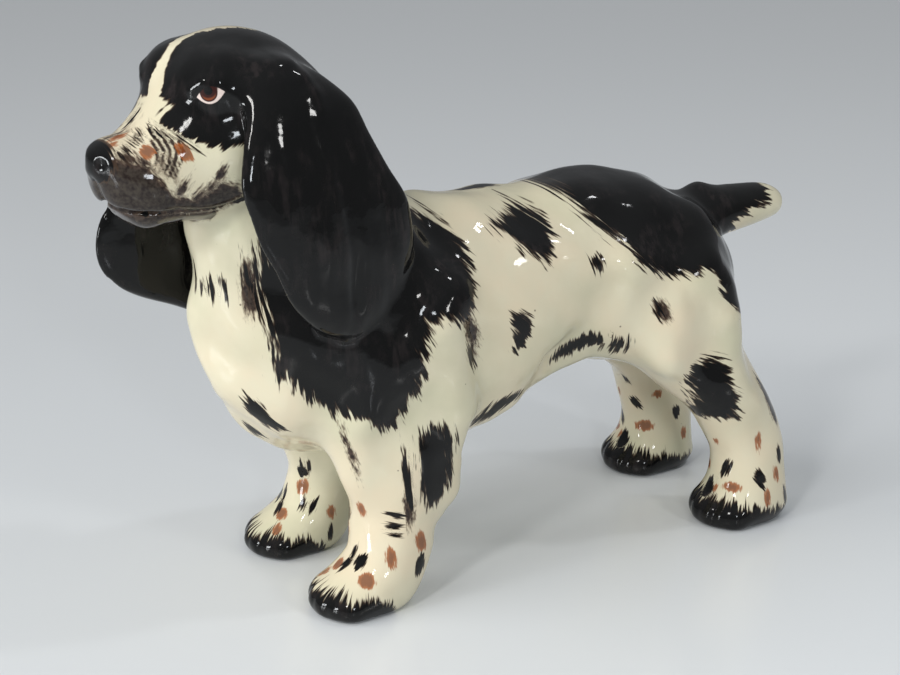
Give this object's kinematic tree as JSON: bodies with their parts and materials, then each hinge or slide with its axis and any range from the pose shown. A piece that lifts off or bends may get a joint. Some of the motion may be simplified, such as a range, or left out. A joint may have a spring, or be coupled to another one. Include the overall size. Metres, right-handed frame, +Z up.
{
  "type": "dog figurine",
  "caption": "Standing glazed ceramic spaniel figurine, hollow cast and hand painted, resting on the flat soles of its feet.",
  "frame": {"origin": "on the ground, under the middle of the bounding box", "axes": "+Z up, the dog looks towards -Y, its left side is +X"},
  "size_m": [0.0416, 0.1269, 0.0901],
  "materials": {
    "white_glaze": "glossy clear glaze over warm ivory slip-cast earthenware, painted under the glaze in black and tan",
    "black_glaze": "glossy clear glaze over solid black underglaze colour"
  },
  "bodies": {
    "root": {"torso": "white_glaze", "head": "white_glaze", "left_ear": "black_glaze", "right_ear": "black_glaze", "front_left_leg": "white_glaze", "front_right_leg": "white_glaze", "hind_left_leg": "white_glaze", "hind_right_leg": "white_glaze", "tail": "white_glaze"}
  },
  "joints": []
}
